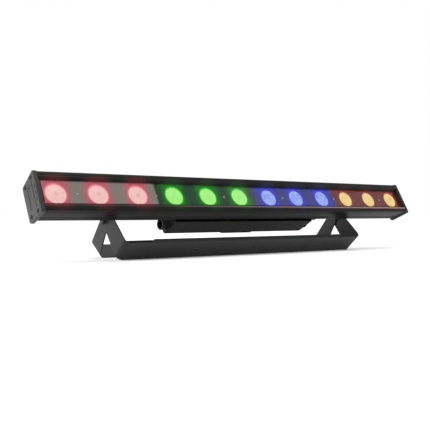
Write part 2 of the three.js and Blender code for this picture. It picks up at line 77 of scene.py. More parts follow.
WINDOW_HALF = 484.5
CAP_INNER = BAR_HALF + 0.3
CAP_HALF = 495.5
LENS_RADIUS = 19.3
LENS_FLANGE = 21
LENS_DEPTH = 16.4
HALO_RISE = 0.9  # the painted light round a lens reaches a little higher above it than below it
HALO_EDGE = 23.5
KNOB_RADIUS = 19
KNOB_SEAT = 325.9
KEY_FIRST_X = 3
KEY_PITCH = 9.5
KEY_Z = -19.5
KEY_TOP = 94.9
POWER_SOCKET_Z = -21.5
DATA_SOCKET_Z = 8
COLORS = ("red", "green", "blue", "amber")

HEAD = (
    Matrix.Translation((
        0,
        (PIVOT_Y - PIVOT_BACK * cos(HEAD_TILT)) * MM,
        (PIVOT_HEIGHT + PIVOT_BACK * sin(HEAD_TILT)) * MM,
    ))
    @ Matrix.Rotation(-HEAD_TILT, 4, "X")
    @ Matrix.Scale(MM, 4)
)


def yoke_frame(lean):
    """Yoke coordinates: the axis at the origin and the foot straight below it."""
    place = Matrix.Translation((0, PIVOT_Y * MM, PIVOT_HEIGHT * MM))
    return place @ Matrix.Rotation(lean, 4, "X") @ Matrix.Scale(MM, 4)


# ---- materials: a small builder for node trees ----
def srgb(red, green, blue):
    """Linear colour of an sRGB one given from 0 to 255."""
    def linear(value):
        value /= 255
        return value / 12.92 if value < 0.04045 else ((value + 0.055) / 1.055) ** 2.4
    return (linear(red), linear(green), linear(blue), 1)


class Shader:
    """A Principled material whose patterns are made of nodes."""

    def __init__(self, name, color, roughness, metallic=0.0, specular=0.5):
        self.material = bpy.data.materials.new(name)
        self.material.use_nodes = True
        self.tree = self.material.node_tree
        self.bsdf = self.tree.nodes["Principled BSDF"]
        self.output = self.tree.nodes["Material Output"]
        self.bsdf.inputs["Base Color"].default_value = color
        self.bsdf.inputs["Roughness"].default_value = roughness
        self.bsdf.inputs["Metallic"].default_value = metallic
        self.bsdf.inputs["Specular IOR Level"].default_value = specular
        self.place = self.node("ShaderNodeTexCoord").outputs["Object"]

    def node(self, kind, **settings):
        made = self.tree.nodes.new(kind)
        for key, value in settings.items():
            setattr(made, key, value)
        return made

    def feed(self, socket, value):
        if isinstance(value, bpy.types.NodeSocket):
            self.tree.links.new(value, socket)
        else:
            socket.default_value = value

    def math(self, operation, first, second=0.0, clamp=False):
        made = self.node("ShaderNodeMath", operation=operation, use_clamp=clamp)
        self.feed(made.inputs[0], first)
        self.feed(made.inputs[1], second)
        return made.outputs[0]

    def noise(self, scale, detail=2.0, stretch=(1, 1, 1), distortion=0.0):
        mapping = self.node("ShaderNodeMapping")
        self.feed(mapping.inputs["Vector"], self.place)
        mapping.inputs["Scale"].default_value = stretch
        made = self.node("ShaderNodeTexNoise")
        self.feed(made.inputs["Vector"], mapping.outputs[0])
        made.inputs["Scale"].default_value = scale
        made.inputs["Detail"].default_value = detail
        made.inputs["Distortion"].default_value = distortion
        return made.outputs["Fac"]

    def between(self, factor, low, high, to_low=0.0, to_high=1.0, smooth=False):
        """Maps factor from low..high to to_low..to_high and holds it there."""
        made = self.node("ShaderNodeMapRange")
        if smooth:
            made.interpolation_type = "SMOOTHSTEP"
        for index, value in enumerate((factor, low, high, to_low, to_high)):
            self.feed(made.inputs[index], value)
        return made.outputs[0]

    def mix(self, factor, first, second, blend="MIX"):
        made = self.node("ShaderNodeMix", data_type="RGBA", blend_type=blend)
        self.feed(made.inputs[0], factor)
        self.feed(made.inputs[6], first)
        self.feed(made.inputs[7], second)
        return made.outputs[2]

    def bump(self, height, distance, strength=1.0):
        made = self.node("ShaderNodeBump")
        made.inputs["Strength"].default_value = strength
        made.inputs["Distance"].default_value = distance
        self.feed(made.inputs["Height"], height)
        before = self.bsdf.inputs["Normal"]
        if before.is_linked:
            self.feed(made.inputs["Normal"], before.links[0].from_socket)
        self.feed(self.bsdf.inputs["Normal"], made.outputs[0])

    def edges(self, width):
        """From 0 on flat faces to 1 on worn edges."""
        rounded = self.node("ShaderNodeBevel", samples=4)
        rounded.inputs["Radius"].default_value = width
        plain = self.node("ShaderNodeNewGeometry")
        dot = self.node("ShaderNodeVectorMath", operation="DOT_PRODUCT")
        self.feed(dot.inputs[0], rounded.outputs[0])
        self.feed(dot.inputs[1], plain.outputs["Normal"])
        return self.between(dot.outputs["Value"], 0.97, 0.8)

    def along(self, direction, origin):
        """Millimetres along a direction from a point of the head."""
        offset = self.node("ShaderNodeVectorMath", operation="SUBTRACT")
        self.feed(offset.inputs[0], self.place)
        offset.inputs[1].default_value = origin
        dot = self.node("ShaderNodeVectorMath", operation="DOT_PRODUCT")
        self.feed(dot.inputs[0], offset.outputs[0])
        dot.inputs[1].default_value = [part / MM for part in direction]
        return dot.outputs["Value"]


HEAD_ORIGIN = HEAD.translation
HEAD_UP = (0, sin(HEAD_TILT), cos(HEAD_TILT))
HEAD_REAR = (0, cos(HEAD_TILT), -sin(HEAD_TILT))


def led_grid(shader):
    """Sockets with x along the bar, x from the nearest lens centre and z above the lens centres, in mm."""
    x = shader.along((1, 0, 0), HEAD_ORIGIN)
    up = shader.along(HEAD_UP, HEAD_ORIGIN)
    steps = shader.math("DIVIDE", shader.math("SUBTRACT", x, FIRST_LED), LED_PITCH)
    nearest = shader.math("ROUND", steps)
    nearest = shader.math("MINIMUM", shader.math("MAXIMUM", nearest, 0), LED_COUNT - 1)
    aside = shader.math("MULTIPLY", shader.math("SUBTRACT", steps, nearest), LED_PITCH)
    return x, aside, up


def by_group(shader, x, colors, blur=6):
    """One of four colours by place along the bar."""
    result = colors[0]
    for edge, color in zip((-GROUP_HALF, 0, GROUP_HALF), colors[1:]):
        result = shader.mix(shader.between(x, edge - blur, edge + blur), result, color)
    return result


def distance_from_lens(shader, aside, up):
    """Millimetres from the nearest lens centre, across the lamp face."""
    squares = shader.math("ADD", shader.math("MULTIPLY", aside, aside), shader.math("MULTIPLY", up, up))
    return shader.math("SQRT", squares)


def paint_lens_glow(shader, colors, reach, strength):
    """Painted glow: emission in the colour of the nearest lens over a dark surface round it, standing in for
    the light the lens spills there.
    """
    x, aside, up = led_grid(shader)
    distance = distance_from_lens(shader, aside, up)
    near = shader.between(distance, LENS_RADIUS + 2, reach, 1, 0, smooth=True)
    front = shader.along(HEAD_REAR, HEAD_ORIGIN)
    near = shader.math("MULTIPLY", near, shader.between(front, 4, 12, 1, 0))
    color = by_group(shader, x, colors)
    shader.feed(shader.bsdf.inputs["Emission Color"], shader.mix(near, (0, 0, 0, 1), color))
    shader.bsdf.inputs["Emission Strength"].default_value = strength


def satin_black_extrusion():
    """Drawn satin black with worn edges, a painted highlight along the lower lip's edge and the painted glow
    of the lenses.
    """
    shader = Shader("black_extrusion", srgb(11, 11, 11), 0.5, specular=0.11)
    drawn = shader.noise(60, 3, stretch=(0.04, 14, 14))
    patches = shader.noise(9, 3)
    tone = shader.mix(shader.between(patches, 0.3, 0.7), srgb(10, 10, 10), srgb(16, 15, 15))
    worn = shader.math("MULTIPLY", shader.edges(0.0006), shader.between(patches, 0.35, 0.6, 0.4, 1))
    shader.feed(shader.bsdf.inputs["Base Color"], shader.mix(worn, tone, srgb(70, 67, 65)))
    shader.feed(shader.bsdf.inputs["Roughness"], shader.between(drawn, 0.3, 0.7, 0.34, 0.5))
    shader.bump(drawn, 0.00004, 0.5)
    shader.bump(shader.noise(1400, 1), 0.00003, 0.4)
    x, _, up = led_grid(shader)
    # painted highlight: a pale band along the lower lip stands in for the light it catches, stronger towards
    # the right end
    lip_painted_highlight = shader.math("MULTIPLY", shader.between(up, -31.2, -29.6), shader.between(up, -26, -28))
    lip_painted_highlight = shader.math("MULTIPLY", lip_painted_highlight, shader.between(x, -250, 450, 0.06, 0.85))
    base = shader.bsdf.inputs["Base Color"]
    shader.feed(base, shader.mix(lip_painted_highlight, base.links[0].from_socket, srgb(172, 140, 150)))
    # painted glow of each lens on the black body, given as emission
    painted_lens_glow = (srgb(120, 26, 30), srgb(22, 78, 26), srgb(34, 36, 92), srgb(72, 32, 28))
    paint_lens_glow(shader, painted_lens_glow, 44, 0.4)
    return shader.material


def powder_coat(name, dark, light, roughness=0.5, grain=0.00012, specular=0.4, shaded_front=False):
    """Fine orange peel with faint patches and slightly worn edges. Its last flag paints shade on the
    foremost rim, darkening it towards black.
    """
    shader = Shader(name, dark, roughness, specular=specular)
    patches = shader.noise(14, 4)
    speckle = shader.noise(2200, 2)
    tone = shader.mix(shader.between(patches, 0.3, 0.7), dark, light)
    tone = shader.mix(shader.between(speckle, 0.45, 0.75, 0, 0.35), tone, light)
    if shaded_front:
        # painted shade: the foremost rim darkened towards black
        rim = shader.between(shader.along(HEAD_REAR, HEAD_ORIGIN), BAR_FRONT + 0.3, BAR_FRONT + 1.6, 0.7, 0)
        tone = shader.mix(rim, tone, (0, 0, 0, 1))
    worn = shader.math("MULTIPLY", shader.edges(0.0005), shader.between(patches, 0.4, 0.65, 0.3, 0.9))
    edge = [min(1, part * 2.6 + 0.01) for part in light[:3]] + [1]
    shader.feed(shader.bsdf.inputs["Base Color"], shader.mix(worn, tone, edge))
    shader.feed(shader.bsdf.inputs["Roughness"],
                shader.between(speckle, 0.3, 0.7, roughness - 0.06, roughness + 0.08))
    shader.bump(shader.noise(650, 3), grain, 0.6)
    return shader.material


def moulded_plastic(name, color, roughness, grain_scale=1500, grain=0.00005):
    """Plastic with a fine moulded grain and faint patches."""
    shader = Shader(name, color, roughness, specular=0.4)
    grain_noise = shader.noise(grain_scale, 2)
    dull = [part * 0.7 for part in color[:3]] + [1]
    shader.feed(shader.bsdf.inputs["Base Color"],
                shader.mix(shader.between(shader.noise(40, 3), 0.3, 0.7), dull, color))
    shader.feed(shader.bsdf.inputs["Roughness"],
                shader.between(grain_noise, 0.3, 0.7, roughness - 0.05, roughness + 0.08))
    shader.bump(grain_noise, grain, 0.5)
    return shader.material


def metal(name, color, roughness):
    """Satin metal with fine patches of tone and shine."""
    shader = Shader(name, color, roughness, metallic=1.0)
    streaks = shader.noise(400, 3)
    dull = [part * 0.72 for part in color[:3]] + [1]
    shader.feed(shader.bsdf.inputs["Base Color"],
                shader.mix(shader.between(streaks, 0.3, 0.7), dull, color))
    shader.feed(shader.bsdf.inputs["Roughness"],
                shader.between(streaks, 0.25, 0.75, roughness - 0.08, roughness + 0.12))
    shader.bump(streaks, 0.00003, 0.4)
    return shader.material


def lens_plastic(name, color, shade, centre):
    """A lit lens: pebbled, a little darker between the pebbles and at its centre."""
    shader = Shader(name, (0.02, 0.02, 0.02, 1), 0.18, specular=0.12)
    _, aside, up = led_grid(shader)
    distance = distance_from_lens(shader, aside, up)
    pebbles = shader.node("ShaderNodeTexVoronoi", feature="SMOOTH_F1")
    shader.feed(pebbles.inputs["Vector"], shader.place)
    pebbles.inputs["Scale"].default_value = 320
    pebbles.inputs["Smoothness"].default_value = 0.4
    grain = shader.between(pebbles.outputs["Distance"], 0.25, 0.75)
    waves = shader.between(shader.noise(110, 2), 0.4, 0.7)
    pattern = shader.math("MULTIPLY", shader.math("ADD", grain, waves), 0.5)
    lit = shader.mix(pattern, color, shade)
    middle = shader.between(distance, 0.5, 6.5, 0.5, 0, smooth=True)
    lit = shader.mix(middle, lit, centre)
    rim = shader.between(distance, LENS_RADIUS - 2.4, LENS_RADIUS, 0, 0.35, smooth=True)
    lit = shader.mix(rim, lit, shade)
    shader.feed(shader.bsdf.inputs["Emission Color"], lit)
    shader.bsdf.inputs["Emission Strength"].default_value = 0.94
    shader.bsdf.inputs["Coat Weight"].default_value = 0.05
    shader.bump(grain, 0.0002, 0.4)
    return shader.material


def mask_with_painted_glow():
    """The satin mask round the lenses, with their light painted on it as emission."""
    shader = Shader("lens_mask_painted_glow", (0.012, 0.012, 0.013, 1), 0.35, specular=0.0)
    x, aside, up = led_grid(shader)
    # painted light: a soft square of light painted round each lens, and a bright painted halo close to it
    far = (srgb(130, 118, 112), srgb(24, 62, 35), srgb(42, 42, 124), srgb(104, 26, 27))
    near = (srgb(186, 90, 104), srgb(20, 118, 22), srgb(33, 37, 182), srgb(112, 30, 31))
    drift = shader.between(shader.noise(26, 2), 0.3, 0.7, -2.5, 2.5)
    across = shader.math("ADD", shader.math("ABSOLUTE", aside), drift)
    square = shader.between(across, 15, 35, 1, 0, smooth=True)
    color = shader.mix(square, by_group(shader, x, far, 2), by_group(shader, x, near, 2))
    painted_halo = (srgb(240, 132, 142), srgb(60, 190, 52), srgb(58, 62, 214), srgb(170, 76, 40))
    raised = shader.math("SUBTRACT", up, HALO_RISE)
    from_raised = distance_from_lens(shader, aside, raised)
    rim = shader.between(from_raised, LENS_RADIUS, HALO_EDGE, 1, 0, smooth=True)
    color = shader.mix(rim, color, by_group(shader, x, painted_halo, 2))
    # painted shadow: the mask darkened towards the upper lip, where the lip shades it
    shadow = shader.between(up, 24, 28, 1, 0.4, smooth=True)
    color = shader.mix(shadow, (0.01, 0.01, 0.01, 1), color)
    shader.feed(shader.bsdf.inputs["Emission Color"], color)
    shader.bsdf.inputs["Emission Strength"].default_value = 1.0
    shader.bump(shader.noise(900, 2), 0.00004, 0.5)
    return shader.material


def window_pane():
    """Clear flat pane: mostly transparent, with a soft gloss on top."""
    shader = Shader("window_pane", (1, 1, 1, 1), 0.06)
    clear = shader.node("ShaderNodeBsdfTransparent")
    clear.inputs["Color"].default_value = (0.96, 0.97, 0.97, 1)
    gloss = shader.node("ShaderNodeBsdfGlossy")
    gloss.inputs["Roughness"].default_value = 0.08
    fresnel = shader.node("ShaderNodeFresnel")
    fresnel.inputs["IOR"].default_value = 1.33
    dust = shader.between(shader.noise(220, 4), 0.45, 0.8, 0, 0.003)
    amount = shader.math("ADD", shader.math("MULTIPLY", fresnel.outputs[0], 0.06), dust)
    blend = shader.node("ShaderNodeMixShader")
    shader.feed(blend.inputs[0], amount)
    shader.feed(blend.inputs[1], clear.outputs[0])
    shader.feed(blend.inputs[2], gloss.outputs[0])
    shader.feed(shader.output.inputs["Surface"], blend.outputs[0])
    return shader.material


def circuit_board():
    """Green board with a pattern of lighter tracks."""
    shader = Shader("circuit_board", srgb(18, 70, 42), 0.4)
    tracks = shader.node("ShaderNodeTexBrick")
    shader.feed(tracks.inputs["Vector"], shader.place)
    tracks.inputs["Scale"].default_value = 90
    tracks.inputs["Color1"].default_value = srgb(16, 66, 38)
    tracks.inputs["Color2"].default_value = srgb(20, 78, 46)
    tracks.inputs["Mortar"].default_value = srgb(46, 110, 66)
    shader.feed(shader.bsdf.inputs["Base Color"], tracks.outputs["Color"])
    shader.bump(tracks.outputs["Fac"], 0.0001, 0.5)
    return shader.material


def white_solder_mask():
    """The white face of the LED board."""
    shader = Shader("led_board_white", srgb(225, 225, 218), 0.45)
    patches = shader.between(shader.noise(70, 3), 0.3, 0.7)
    shader.feed(shader.bsdf.inputs["Base Color"],
                shader.mix(patches, srgb(214, 214, 204), srgb(232, 232, 226)))
    shader.bump(shader.noise(800, 2), 0.00004, 0.4)
    return shader.material


LOOKS = {
    "black_body": satin_black_extrusion(),
    "end_cap": powder_coat(
        "end_cap_paint", srgb(48, 48, 47), srgb(62, 62, 60), 0.55, 0.0002, 0.3, shaded_front=True),
    "window": window_pane(),
    "mask": mask_with_painted_glow(),
    "led_board": white_solder_mask(),
    "lens_red": lens_plastic(
        "lens_red_lit", srgb(255, 204, 200), srgb(247, 190, 188), srgb(214, 150, 150)),
    "lens_green": lens_plastic(
        "lens_green_lit", srgb(178, 255, 138), srgb(150, 246, 112), srgb(150, 240, 110)),
    "lens_blue": lens_plastic(
        "lens_blue_lit", srgb(170, 198, 255), srgb(112, 118, 244), srgb(150, 170, 255)),
    "lens_amber": lens_plastic(
        "lens_amber_lit", srgb(255, 230, 150), srgb(244, 190, 112), srgb(245, 205, 120)),
    "black_box": powder_coat("black_box_coat", srgb(8, 8, 8), srgb(13, 13, 13), 0.5, specular=0.16),
    "yoke": powder_coat("yoke_coat", srgb(18, 18, 18), srgb(26, 26, 26), 0.46, 0.0001, 0.35),
    "hinge": powder_coat("hinge_coat", srgb(22, 22, 22), srgb(32, 32, 32), 0.5),
    "panel": moulded_plastic("panel_plastic", srgb(24, 24, 25), 0.5),
    "display": moulded_plastic("display_window_gloss", srgb(12, 20, 26), 0.12, 300, 0.00001),
    "button": moulded_plastic("button_rubber", srgb(52, 52, 54), 0.6),
    "circuit": circuit_board(),
    "power_socket": moulded_plastic("power_socket_plastic", srgb(34, 35, 37), 0.42),
    "data_socket": metal("data_socket_plate", (0.30, 0.30, 0.31, 1), 0.38),
    "screw": metal("black_oxide", (0.035, 0.035, 0.037, 1), 0.4),
    "bolt": metal("zinc_plate", (0.5, 0.5, 0.52, 1), 0.32),
    "washer": moulded_plastic("washer_nylon", srgb(26, 26, 26), 0.45),
    "knob": moulded_plastic("knob_plastic", srgb(22, 22, 23), 0.45, 700, 0.0001),
}


def dress_cad_nodes():
    """Gives every carried-over CAD node the material of its slot."""
    for row in frame["record"]["subparts"]:
        node = frame["nodes"][row["node"]]
        node.data.materials.clear()
        node.data.materials.append(LOOKS[row["material_slot"]])


# ---- shapes ----
def circle_angles(count, turn=0.0):
    """Angles of count equal steps round a full turn."""
    return [turn + 2 * pi * k / count for k in range(count)]


def spin(bm, profile, place, count=32, loop=False):
    """Turns (radius, height) pairs round an axis. A radius may be a function of the angle."""
    rings = []
    for radius, height in profile:
        if not callable(radius) and radius == 0:
            rings.append([bm.verts.new(place(0, 0, height))])
            continue
        ring = []
        for angle in circle_angles(count):
            reach = radius(angle) if callable(radius) else radius
            ring.append(bm.verts.new(place(reach * cos(angle), reach * sin(angle), height)))
        rings.append(ring)
    pairs = list(zip(rings, rings[1:]))
    if loop:
        pairs.append((rings[-1], rings[0]))
    for low, high in pairs:
        for k in range(count):
            after = (k + 1) % count
            corners = [
                low[k % len(low)], low[after % len(low)], high[after % len(high)], high[k % len(high)],
            ]
            unique = list(dict.fromkeys(corners))
            if len(unique) > 2:
                bm.faces.new(unique)


def prism(bm, outline, place, start, end):
    """Extrudes a closed outline of (a, b) points from start to end."""
    low = [bm.verts.new(place(a, b, start)) for a, b in outline]
    high = [bm.verts.new(place(a, b, end)) for a, b in outline]
    count = len(outline)
    for k in range(count):
        after = (k + 1) % count
        bm.faces.new((low[k], low[after], high[after], high[k]))
    bm.faces.new(low[::-1])
    bm.faces.new(high)


def rounded(corners, steps=5):
    """Outline through (a, b, radius) corners with round corners."""
    points = []
    for k, (a, b, radius) in enumerate(corners):
        corner = Vector((a, b))
        if radius == 0:
            points.append((a, b))
            continue
        before = (Vector(corners[k - 1][:2]) - corner).normalized() * radius
        after = (Vector(corners[(k + 1) % len(corners)][:2]) - corner).normalized() * radius
        for step in range(steps + 1):
            t = step / steps
            spot = corner + before * (1 - t) ** 2 + after * t ** 2
            points.append((spot.x, spot.y))
    return points


# Each of these says where (a, b, t) lies: along_x and along_y for an outline extruded along that axis,
# axis_x, axis_y and axis_z for a profile turned round a line along that axis.
def along_x(a, b, t):
    return (t, a, b)


def along_y(a, b, t):
    return (a, t, b)


def axis_x(y, z):
    return lambda a, b, t: (t, y + a, z + b)


def axis_y(x, z):
    return lambda a, b, t: (x + a, t, z + b)


def axis_z(x, y):
    return lambda a, b, t: (x + a, y + b, t)


def soften_edges(piece, width, sharp):
    """A small bevel, width in millimetres, on every edge sharper than the given angle."""
    soft = piece.modifiers.new("soft_edges", "BEVEL")
    soft.width = width * MM
    soft.segments = 2
    soft.limit_method = "ANGLE"
    soft.angle_limit = radians(sharp)
    soft.harden_normals = True


def finish_piece(name, bm, look, body, matrix=HEAD, replaced=(), bevel=0.0, sharp=35):
    """Makes an object of bm, given in its own millimetres, in the part's frame, and lets it ride a body."""
    bmesh.ops.recalc_face_normals(bm, faces=bm.faces)
    bmesh.ops.transform(bm, matrix=matrix, verts=bm.verts)
    mesh = bpy.data.meshes.new(name)
    bm.to_mesh(mesh)
    bm.free()
    mesh.polygons.foreach_set("use_smooth", [True] * len(mesh.polygons))
    mesh.set_sharp_from_angle(angle=radians(sharp))
    piece = bpy.data.objects.new(name, mesh)
    bpy.context.scene.collection.objects.link(piece)
    mesh.materials.append(LOOKS[look])
    if bevel:
        soften_edges(piece, bevel, sharp)
    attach(piece, body)
    if replaced:
        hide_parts(*replaced)
    return piece


# ---- the bar ----
def skin(y, inset=0.0):
    """How far the wall of the bar lies from its middle plane at depth y."""
    slope = (FRONT_HALF - BACK_HALF) / (BAR_BACK - BAR_FRONT)
    return FRONT_HALF - slope * (y - BAR_FRONT) - inset


def ribbed_side(side):
    """Outer wall of one half from rear to front: ribs on the rear and fine grooves along the wall."""
    points = []
    for z in (9, 13, 17, 21, 25):
        points += [(BAR_BACK, side * z), (BAR_BACK - 1.3, side * (z + 0.5)),
                   (BAR_BACK - 1.3, side * (z + 2)), (BAR_BACK, side * (z + 2.5))]
    points += [(BAR_BACK, side * (BACK_HALF - 2)), (BAR_BACK - 0.6, side * (BACK_HALF - 0.6)),
               (BAR_BACK - 2, side * skin(BAR_BACK - 2))]
    for y in (33, 29, 25, 21):
        points += [(y + 0.9, side * skin(y + 0.9)), (y + 0.5, side * skin(y, 0.9)),
                   (y - 0.5, side * skin(y, 0.9)), (y - 0.9, side * skin(y - 0.9))]
    points += [(BAR_FRONT + 1.6, side * skin(BAR_FRONT + 1.6)), (BAR_FRONT + 0.5, side * (FRONT_HALF - 0.5)),
               (BAR_FRONT, side * (FRONT_HALF - 1.6))]
    return points


def lip(side, window_edge, slope_start):
    """Front of one lip, the slope to the window's edge, the window's groove and the wall behind it. The thin
    line along the front is a groove on the lower lip and hardly more than a scratch on the upper one."""
    groove = 1.4 if side < 0 else 0.15
    return [
        (BAR_FRONT, side * 32.1), (BAR_FRONT + groove / 3, side * 31.8), (BAR_FRONT + groove, side * 31.2),
        (BAR_FRONT + groove, side * 30.6), (BAR_FRONT + groove / 7, side * 30), (BAR_FRONT, side * 29.8),
        (BAR_FRONT, side * (slope_start + 0.3)), (BAR_FRONT + 0.3, side * (slope_start - 0.1)),
        (-6.2, side * (window_edge + 0.1)), (-5.8, side * window_edge), (PANE_FRONT, side * window_edge),
        (PANE_FRONT, side * PANE_HALF), (PANE_BACK, side * PANE_HALF), (PANE_BACK, side * CHAMBER_HALF),
        (6, side * CHAMBER_HALF),
        (8, side * skin(8, SHELL_WALL)), (21, side * skin(21, SHELL_WALL)),
    ]


def housing():
    """The bar: the lips in front, the ribbed walls and the closed chamber, as one extrusion."""
    upper = [(BAR_BACK - 2.5, 5), (BAR_BACK, 5)] + ribbed_side(1) + lip(1, WINDOW_TOP, TOP_SLOPE)
    lower = [(BAR_BACK - 2.5, -5), (BAR_BACK, -5)] + ribbed_side(-1)
    lower += lip(-1, WINDOW_BOTTOM, BOTTOM_SLOPE)
    bm = bmesh.new()
    prism(bm, upper + lower[::-1], along_x, -BAR_HALF, BAR_HALF)
    finish_piece("housing_body", bm, "black_body", "head", replaced=["housing_extrusion"], bevel=0.18)


def cap_outline(inset):
    """Outline of an end cap in (y, z), moved inwards by inset."""
    half = [(45, 33.6), (42.5, 36.6), (-8, 42.1), (-11, 39.1)]
    radii = [2, 1, 1.5, 1.5]
    upper = [(y, z, radius) for (y, z), radius in zip(half, radii)]
    lower = [(y, -z, radius) for y, z, radius in reversed(upper)]
    middle = Vector((12, 0))
    points = []
    for y, z in rounded(upper + lower, 4):
        toward = middle - Vector((y, z))
        spot = Vector((y, z)) + toward.normalized() * inset
        points.append((spot.x, spot.y))
    return points


def loft(bm, rings, place):
    """Skins over closed rings of equal length given as (outline, height), and closes both ends."""
    made = [[bm.verts.new(place(a, b, height)) for a, b in outline] for outline, height in rings]
    count = len(made[0])
    for low, high in zip(made, made[1:]):
        for k in range(count):
            after = (k + 1) % count
            bm.faces.new((low[k], low[after], high[after], high[k]))
    bm.faces.new(made[0][::-1])
    bm.faces.new(made[-1])


CAP_SCREWS = {
    "upper_front": (2.5, 33.2),
    "upper_rear": (32, 29.5),
    "lower_front": (2.5, -33.2),
    "lower_rear": (32, -29.5),
}
CAP_SEAT = CAP_HALF - 1.6
CAP_SEAT_RADIUS = 4.3


def end_cap(name, side):
    """The casting that closes one end of the bar, and its dark plug in front of the window."""
    bm = bmesh.new()
    loft(bm, [
        (cap_outline(0.5), side * CAP_INNER), (cap_outline(0), side * (CAP_INNER + 0.6)),
        (cap_outline(0), side * (CAP_HALF - 1)), (cap_outline(0.35), side * (CAP_HALF - 0.3)),
        (cap_outline(1.2), side * CAP_HALF),
    ], along_x)
    piece = finish_piece(f"end_cap_{name}_casting", bm, "end_cap", "head",
                         replaced=[f"end_cap_{name}"], sharp=30)
    apply_cut(piece, tool_object(cap_recesses(side)))
    plug = bmesh.new()
    front, back, bottom, top = -9, -4.6, 1 - WINDOW_BOTTOM, WINDOW_TOP - 1
    outline = rounded([(front, bottom, 1), (back, bottom, 0.5), (back, top, 0.5), (front, top, 1)], 2)
    prism(plug, outline, along_x, side * WINDOW_HALF, side * (CAP_INNER - 0.1))
    finish_piece(f"end_cap_{name}_plug", plug, "black_body", "head", sharp=30)


def cap_recesses(side):
    """What is sunk into a cap's face: a wide and a narrow panel, three slots and the screw seats."""
    bm = bmesh.new()
    face = side * (CAP_HALF + 1)
    shallow = side * (CAP_HALF - 0.8)
    deep = side * (CAP_HALF - 1.6)
    panel = rounded([(27, -21, 2.5), (27, 21, 2.5), (9, 23, 2.5), (9, -23, 2.5)], 3)
    prism(bm, panel, along_x, shallow, face)
    front = rounded([(5, -25, 1.2), (5, 25, 1.2), (1, 26, 1.2), (1, -26, 1.2)], 3)
    prism(bm, front, along_x, shallow, face)
    slot_back, slot_front, slot_half = -4, -6.5, 4
    for z in (-12, 0, 12):
        low, high = z - slot_half, z + slot_half
        slot = rounded([
            (slot_back, low, 0.9), (slot_back, high, 0.9), (slot_front, high, 0.9), (slot_front, low, 0.9),
        ], 3)
        prism(bm, slot, along_x, deep, face)
    floor = side * (CAP_SEAT - 0.2)
    seat = [(0, floor), (CAP_SEAT_RADIUS, floor), (CAP_SEAT_RADIUS, face), (0, face)]
    for y, z in CAP_SCREWS.values():
        spin(bm, seat, axis_x(y, z), 24)
    return bm


def tool_object(bm, matrix=HEAD):
    """Makes a temporary object of bm, to cut with or to add. apply_cut removes it."""
    bmesh.ops.recalc_face_normals(bm, faces=bm.faces)
    bmesh.ops.transform(bm, matrix=matrix, verts=bm.verts)
    mesh = bpy.data.meshes.new("tool")
    bm.to_mesh(mesh)
    bm.free()
    tool = bpy.data.objects.new("tool", mesh)
    bpy.context.scene.collection.objects.link(tool)
    return tool


def apply_cut(piece, tool, operation="DIFFERENCE"):
    """Cuts a tool out of a piece, or joins it with UNION, for good."""
    change = piece.modifiers.new("cut", "BOOLEAN")
    change.operation = operation
    change.solver = "EXACT"
    change.use_self = True
    change.object = tool
    bpy.context.view_layer.update()
    result = bpy.data.meshes.new_from_object(piece.evaluated_get(bpy.context.evaluated_depsgraph_get()))
    piece.modifiers.remove(change)
    old = piece.data
    piece.data = result
    result.name = piece.name
    bpy.data.meshes.remove(old)
    bpy.data.objects.remove(tool)
    result.polygons.foreach_set("use_smooth", [True] * len(result.polygons))
    result.set_sharp_from_angle(angle=radians(30))


# ---- screws ----
def hexagon(across):
    """Radius of a hexagon by angle, from the distance between its flats."""
    return lambda angle: across / 2 / cos((angle % (pi / 3)) - pi / 6)


def button_head(bm, place, seat, way, radius, tall, shank, tip):
    """A button head with a hexagon socket, and its shank."""
    drive = hexagon(radius * 0.9)
    profile = [
        (0, tip), (shank * 0.7, tip), (shank, tip + way * 0.6), (shank, seat), (radius, seat),
        (radius, seat + way * tall * 0.25), (radius * 0.93, seat + way * tall * 0.6),
        (radius * 0.78, seat + way * tall * 0.88), (radius * 0.62, seat + way * tall),
        (drive, seat + way * tall), (drive, seat + way * tall * 0.45), (0, seat + way * tall * 0.38),
    ]
    spin(bm, profile, place, 24)


def cap_screws(name, side):
    """The four screws that hold a cap, each in its sunk seat."""
    for corner, (y, z) in CAP_SCREWS.items():
        bm = bmesh.new()
        button_head(bm, axis_x(y, z), side * (CAP_SEAT + 0.3), side, 3.4, 2.4, 1.8, side * (BAR_HALF - 11))
        node = f"cap_screw_{name}_{corner}"
        finish_piece(f"{node}_detail", bm, "screw", "head", replaced=[node], sharp=25)


HINGE_X = 300
HINGE_SCREW_Z = 9.5
HINGE_FACE = 43.6
BOX_TAB_X = 199
BOX_TAB_FACE = 42.8


def rear_screws(name, side):
    """Screws into the back of the bar: place, seat, head radius, head height and shank radius of each."""
    places = [
        (f"hinge_screw_{name}_upper", HINGE_X, HINGE_SCREW_Z, HINGE_FACE, 4.4, 2.8, 2.4),
        (f"hinge_screw_{name}_lower", HINGE_X, -HINGE_SCREW_Z, HINGE_FACE, 4.4, 2.8, 2.4),
        (f"box_screw_{name}", BOX_TAB_X, 12, BOX_TAB_FACE, 4.2, 2.4, 1.9),
    ]
    tip = BAR_BACK - 3.4
    for node, x, z, seat, radius, tall, shank in places:
        bm = bmesh.new()
        button_head(bm, axis_y(side * x, z), seat, 1, radius, tall, shank, tip)
        finish_piece(f"{node}_detail", bm, "screw", "head", replaced=[node], sharp=25)


def mask_screws():
    """Small pan heads that hold the mask, in every other space between two lenses."""
    for pair in range(LED_COUNT // 2):
        bm = bmesh.new()
        x = FIRST_LED + (2 * pair + 0.5) * LED_PITCH
        profile = [
            (0, 1.2), (2.6, 1.2), (2.6, 0.8), (2.1, 0.1), (1.2, -0.2), (0.9, -0.2), (0.9, 0.4), (0, 0.4),
        ]
        spin(bm, profile, axis_y(x, 0), 20)
        finish_piece(f"mask_screw_{pair + 1}", bm, "data_socket", "head", sharp=25)


